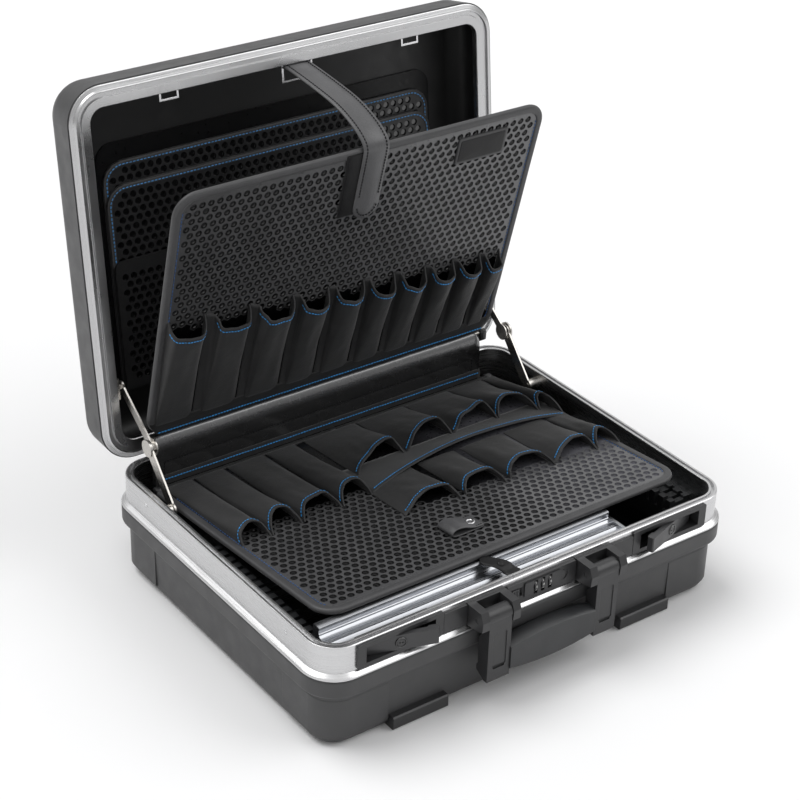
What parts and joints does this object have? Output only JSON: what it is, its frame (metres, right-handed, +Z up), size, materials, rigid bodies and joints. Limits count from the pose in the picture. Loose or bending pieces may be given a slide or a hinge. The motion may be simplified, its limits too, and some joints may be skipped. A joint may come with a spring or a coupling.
{
  "type": "tool case",
  "caption": "Open hard tool case with an aluminium frame, hinged lid on folding stays, two fold-out tool boards with cloth pockets, latches, dial lock and swing handle.",
  "frame": {"origin": "centre of the lower shell's underside, which is the face that the case stands on", "axes": "+X to the right and +Y to the rear seen from the handle side, +Z up; the lid's hinge line runs along X at the rear rim"},
  "size_m": [0.492, 0.4939, 0.4896],
  "materials": {
    "shell_plastic": "fine grained",
    "dark_plastic": "satin",
    "frame_metal": "satin anodised",
    "bright_metal": "polished",
    "stay_metal": "zinc plated",
    "board_lining": "embossed sheet",
    "edge_binding": "smooth coated cloth",
    "pocket_cloth": "dense cloth",
    "strap_leather": "smooth",
    "grip_rubber": "satin",
    "lever_metal": "satin"
  },
  "bodies": {
    "base": {"base_shell": "shell_plastic", "base_frame": "frame_metal", "frame_rivets": "bright_metal", "front_feet": "grip_rubber", "hinge_base_leaf": "frame_metal", "hinge_pin": "bright_metal", "latch_bezel_left": "dark_plastic", "latch_bezel_right": "dark_plastic", "handle_bracket_left": "lever_metal", "handle_bracket_right": "lever_metal", "handle_pins": "bright_metal", "lock_housing": "dark_plastic", "dial_axle": "bright_metal", "filler_plates": "dark_plastic", "side_rail_left": "dark_plastic", "side_rail_right": "dark_plastic", "front_divider": "frame_metal", "side_partition": "dark_plastic", "cross_dividers": "dark_plastic", "board_spine": "grip_rubber", "board_rods": "bright_metal", "hold_down_strap": "strap_leather", "stay_studs_base": "stay_metal"},
    "lid": {"lid_shell": "shell_plastic", "lid_frame": "frame_metal", "hinge_lid_leaf": "frame_metal", "latch_strikes": "bright_metal", "strap_anchor": "bright_metal", "lid_backing_board": "board_lining", "document_pocket_rear": "board_lining", "document_pocket_front": "board_lining", "document_pocket_lower": "board_lining", "stay_studs_lid": "stay_metal", "carry_strap": "strap_leather"},
    "upper_board": {"upper_board_panel": "board_lining", "upper_board_binding": "edge_binding", "upper_pockets_left": "pocket_cloth", "upper_pockets_middle": "pocket_cloth", "upper_pockets_right": "pocket_cloth", "label_plate": "dark_plastic"},
    "lower_board": {"lower_board_panel": "board_lining", "lower_board_binding": "edge_binding", "lower_pockets_left": "pocket_cloth", "lower_pockets_back": "pocket_cloth", "lower_pockets_front": "pocket_cloth", "pull_tab": "strap_leather", "tab_eyelet": "bright_metal"},
    "handle": {"handle_arm_left": "lever_metal", "handle_arm_right": "lever_metal", "handle_grip": "grip_rubber"},
    "latch_left": {"latch_lever_left": "lever_metal"},
    "latch_right": {"latch_lever_right": "lever_metal"},
    "key_left": {"lock_cylinder_left": "bright_metal"},
    "key_right": {"lock_cylinder_right": "bright_metal"},
    "dial_left": {"dial_left": "dark_plastic"},
    "dial_middle": {"dial_middle": "dark_plastic"},
    "dial_right": {"dial_right": "dark_plastic"},
    "lock_slide": {"lock_slide": "dark_plastic"},
    "stay_lower": {"stay_lower_links": "stay_metal"},
    "stay_upper": {"stay_upper_links": "stay_metal"}
  },
  "joints": [
    {"name": "lid_hinge", "type": "hinge", "parent": "base", "child": "lid", "pos_m": [0, 0.189, 0.1124], "axis": [-1, 0, 0], "range_deg": [-96.3, 0], "deforming": ["carry_strap"]},
    {"name": "upper_board_hinge", "type": "hinge", "parent": "base", "child": "upper_board", "pos_m": [0, 0.171, 0.138], "axis": [-1, 0, 0], "range_deg": [-75.9, 0]},
    {"name": "lower_board_hinge", "type": "hinge", "parent": "base", "child": "lower_board", "pos_m": [0, 0.155, 0.088], "axis": [-1, 0, 0], "range_deg": [0, 45]},
    {"name": "handle_hinge", "type": "hinge", "parent": "base", "child": "handle", "pos_m": [0, -0.201, 0.0965], "axis": [-1, 0, 0], "range_deg": [0, 95]},
    {"name": "latch_left_pivot", "type": "hinge", "parent": "base", "child": "latch_left", "pos_m": [-0.16, -0.1842, 0.097], "axis": [0, 0, 1], "range_deg": [0, 18]},
    {"name": "latch_right_pivot", "type": "hinge", "parent": "base", "child": "latch_right", "pos_m": [0.16, -0.1842, 0.097], "axis": [0, 0, -1], "range_deg": [0, 18]},
    {"name": "key_left_turn", "type": "hinge", "parent": "latch_left", "child": "key_left", "pos_m": [-0.16148, -0.18876, 0.097], "axis": [-0.309, -0.9511, 0], "range_deg": [0, 90]},
    {"name": "key_right_turn", "type": "hinge", "parent": "latch_right", "child": "key_right", "pos_m": [0.16148, -0.18876, 0.097], "axis": [0.309, -0.9511, 0], "range_deg": [0, 90]},
    {"name": "dial_left_turn", "type": "hinge", "parent": "base", "child": "dial_left", "pos_m": [-0.0084, -0.184, 0.097], "axis": [1, 0, 0], "continuous": true},
    {"name": "dial_middle_turn", "type": "hinge", "parent": "base", "child": "dial_middle", "pos_m": [0, -0.184, 0.097], "axis": [1, 0, 0], "continuous": true},
    {"name": "dial_right_turn", "type": "hinge", "parent": "base", "child": "dial_right", "pos_m": [0.0084, -0.184, 0.097], "axis": [1, 0, 0], "continuous": true},
    {"name": "lock_slide_run", "type": "slide", "parent": "base", "child": "lock_slide", "axis": [1, 0, 0], "range_m": [0, 0.004], "stiffness_N_per_m": 60},
    {"name": "stay_lower_pivot", "type": "hinge", "parent": "base", "child": "stay_lower", "pos_m": [0, 0.106, 0.098], "axis": [-1, 0, 0], "range_deg": [-127, 0]},
    {"name": "stay_upper_pivot", "type": "hinge", "parent": "lid", "child": "stay_upper", "pos_m": [0, 0.2043, 0.18717], "axis": [-1, 0, 0], "range_deg": [0, 128]}
  ],
  "couplings": [
    {"joint": "upper_board_hinge", "follows": "lid_hinge", "ratio": 0.7871},
    {"joint": "stay_lower_pivot", "follows": "lid_hinge", "ratio": 1.314},
    {"joint": "stay_upper_pivot", "follows": "lid_hinge", "ratio": -1.324}
  ]
}
